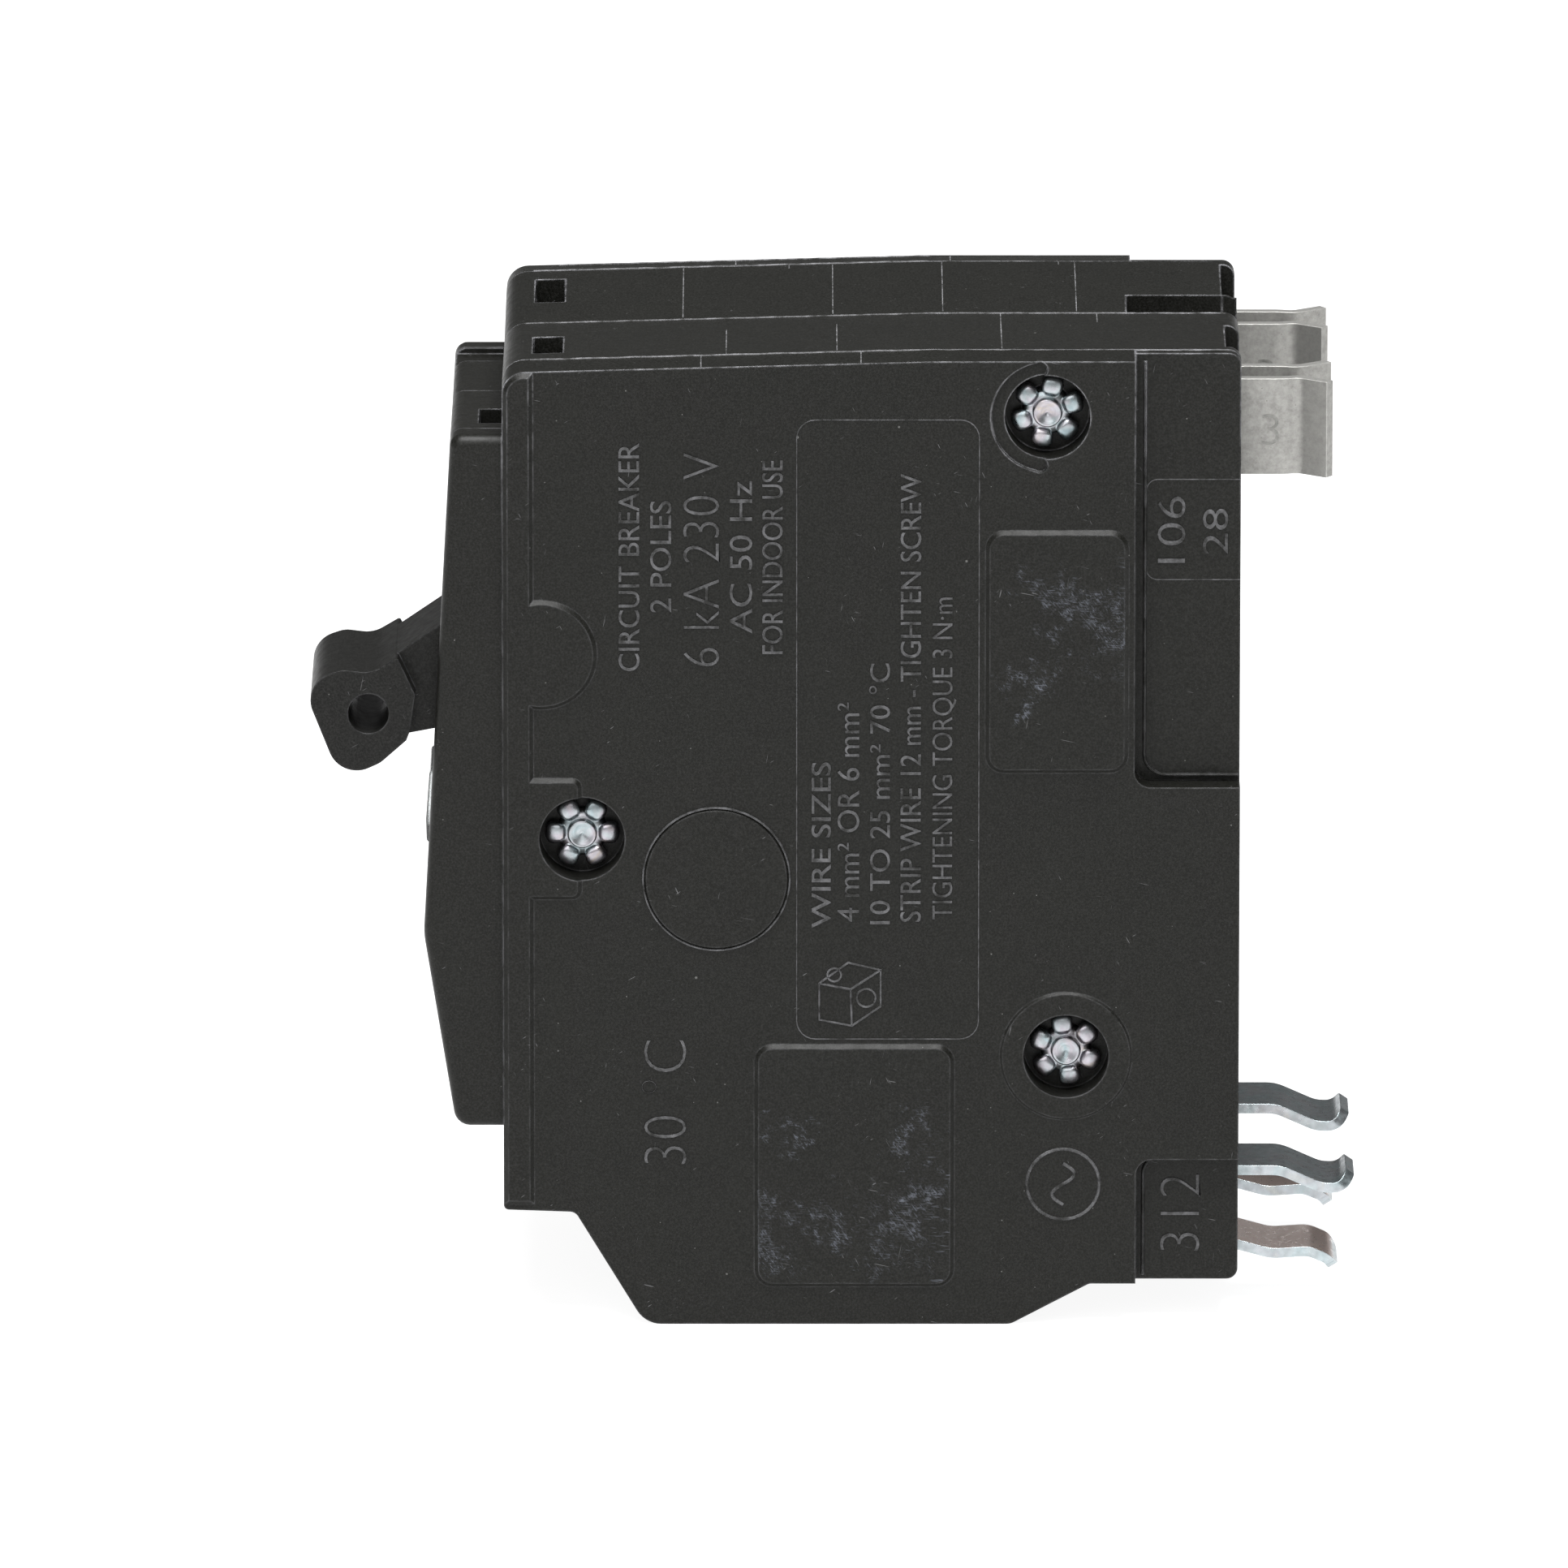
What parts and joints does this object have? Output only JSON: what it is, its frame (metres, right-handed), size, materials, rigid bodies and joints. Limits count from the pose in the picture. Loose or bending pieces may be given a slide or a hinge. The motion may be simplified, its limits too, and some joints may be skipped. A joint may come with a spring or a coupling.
{
  "type": "circuit breaker",
  "caption": "Double-pole plug-on miniature circuit breaker with one toggle handle, sprung line jaws and rail clips at the rear, and wire lugs inside the load end.",
  "frame": {"origin": "centre of the bounding box, at the load end that the breaker stands on", "axes": "+Z to the line end, -X to the handle, +X to the mounting rail, Y across the poles"},
  "size_m": [0.0834, 0.0382, 0.0794],
  "materials": {
    "case_phenolic": "moulded black thermoset with a fine grain, slightly worn on its edges",
    "handle_plastic": "moulded black plastic, satin",
    "zinc_steel": "bright zinc plate with a bluish tint",
    "tinned_copper": "dull tin plate",
    "copper": "plain copper",
    "silver_contact": "silver alloy",
    "bimetal_strip": "rolled bimetal",
    "plain_steel": "plain steel",
    "spring_steel": "drawn spring wire",
    "lug_aluminium": "tinned aluminium",
    "fibre_board": "vulcanised fibre",
    "clear_lens": "clear moulded window",
    "flag_plastic": "moulded indicator flag",
    "bar_plastic": "moulded trip bar"
  },
  "bodies": {
    "case": {"right_cover": "case_phenolic", "left_cover": "case_phenolic", "right_base": "case_phenolic", "left_base": "case_phenolic", "case_rivets": "zinc_steel", "trip_window": "clear_lens", "right_line_jaw": "tinned_copper", "left_line_jaw": "tinned_copper", "right_stationary_contact": "copper", "left_stationary_contact": "copper", "right_flexible_braid": "copper", "left_flexible_braid": "copper", "right_bimetal": "bimetal_strip", "left_bimetal": "bimetal_strip", "right_load_strap": "copper", "left_load_strap": "copper", "right_calibration_screw": "zinc_steel", "left_calibration_screw": "zinc_steel", "right_terminal_lug": "lug_aluminium", "left_terminal_lug": "lug_aluminium", "right_magnet_yoke": "plain_steel", "left_magnet_yoke": "plain_steel", "right_armature_spring": "spring_steel", "left_armature_spring": "spring_steel", "right_trip_lever_pin": "zinc_steel", "left_trip_lever_pin": "zinc_steel", "right_toggle_spring": "spring_steel", "left_toggle_spring": "spring_steel", "right_arc_baffle": "fibre_board", "left_arc_baffle": "fibre_board", "right_rail_clip": "zinc_steel", "left_rail_clip": "zinc_steel"},
    "handle": {"operating_handle": "handle_plastic", "left_handle_hub": "handle_plastic", "handle_cross_shaft": "zinc_steel"},
    "trip_bar": {"common_trip_bar": "bar_plastic"},
    "trip_flag": {"trip_flag": "flag_plastic"},
    "right_arm": {"right_contact_arm": "copper", "right_moving_contact": "silver_contact"},
    "right_trip_lever": {"right_trip_lever": "plain_steel"},
    "right_armature": {"right_armature": "plain_steel"},
    "right_lug_screw": {"right_lug_screw": "zinc_steel"},
    "left_arm": {"left_contact_arm": "copper", "left_moving_contact": "silver_contact"},
    "left_trip_lever": {"left_trip_lever": "plain_steel"},
    "left_armature": {"left_armature": "plain_steel"},
    "left_lug_screw": {"left_lug_screw": "zinc_steel"}
  },
  "joints": [
    {"name": "handle_toggle", "type": "hinge", "parent": "case", "child": "handle", "pos_m": [-0.02315, 0, 0.0552], "axis": [0, 1, 0], "range_deg": [0, 43], "deforming": ["right_toggle_spring", "left_toggle_spring", "right_flexible_braid", "left_flexible_braid"]},
    {"name": "right_arm_swing", "type": "hinge", "parent": "handle", "child": "right_arm", "pos_m": [-0.01478, 0, 0.0585], "axis": [0, 1, 0], "range_deg": [-66.6, 0]},
    {"name": "left_arm_swing", "type": "hinge", "parent": "handle", "child": "left_arm", "pos_m": [-0.01478, 0, 0.0585], "axis": [0, 1, 0], "range_deg": [-66.6, 0]},
    {"name": "right_trip", "type": "hinge", "parent": "case", "child": "right_trip_lever", "pos_m": [-0.0095, 0, 0.0525], "axis": [0, 1, 0], "range_deg": [0, 25], "stiffness_Nm_per_rad": 0.0015, "springref_deg": -11.46},
    {"name": "left_trip", "type": "hinge", "parent": "case", "child": "left_trip_lever", "pos_m": [-0.0095, 0, 0.0525], "axis": [0, 1, 0], "range_deg": [0, 25]},
    {"name": "trip_bar_turn", "type": "hinge", "parent": "case", "child": "trip_bar", "pos_m": [-0.009, 0, 0.042], "axis": [0, 1, 0], "range_deg": [0, 20]},
    {"name": "trip_flag_turn", "type": "hinge", "parent": "case", "child": "trip_flag", "pos_m": [-0.0272, 0, 0.0362], "axis": [0, 1, 0], "range_deg": [0, 12]},
    {"name": "right_armature_pull", "type": "hinge", "parent": "case", "child": "right_armature", "pos_m": [0.0012, 0, 0.0296], "axis": [0, 1, 0], "range_deg": [0, 3], "stiffness_Nm_per_rad": 0.003, "springref_deg": -11.46},
    {"name": "left_armature_pull", "type": "hinge", "parent": "case", "child": "left_armature", "pos_m": [0.0012, 0, 0.0296], "axis": [0, 1, 0], "range_deg": [0, 3], "stiffness_Nm_per_rad": 0.003, "springref_deg": -11.46},
    {"name": "right_screw_clamp", "type": "slide", "parent": "case", "child": "right_lug_screw", "axis": [1, 0, 0], "range_m": [0, 0.0065]},
    {"name": "left_screw_clamp", "type": "slide", "parent": "case", "child": "left_lug_screw", "axis": [1, 0, 0], "range_m": [0, 0.0065]}
  ],
  "couplings": [
    {"joint": "right_arm_swing", "follows": "handle_toggle", "ratio": -1.5465},
    {"joint": "left_arm_swing", "follows": "handle_toggle", "ratio": -1.5465},
    {"joint": "left_trip", "follows": "right_trip", "ratio": 1},
    {"joint": "trip_bar_turn", "follows": "right_trip", "ratio": 0.8},
    {"joint": "trip_flag_turn", "follows": "right_trip", "ratio": 0.48}
  ]
}
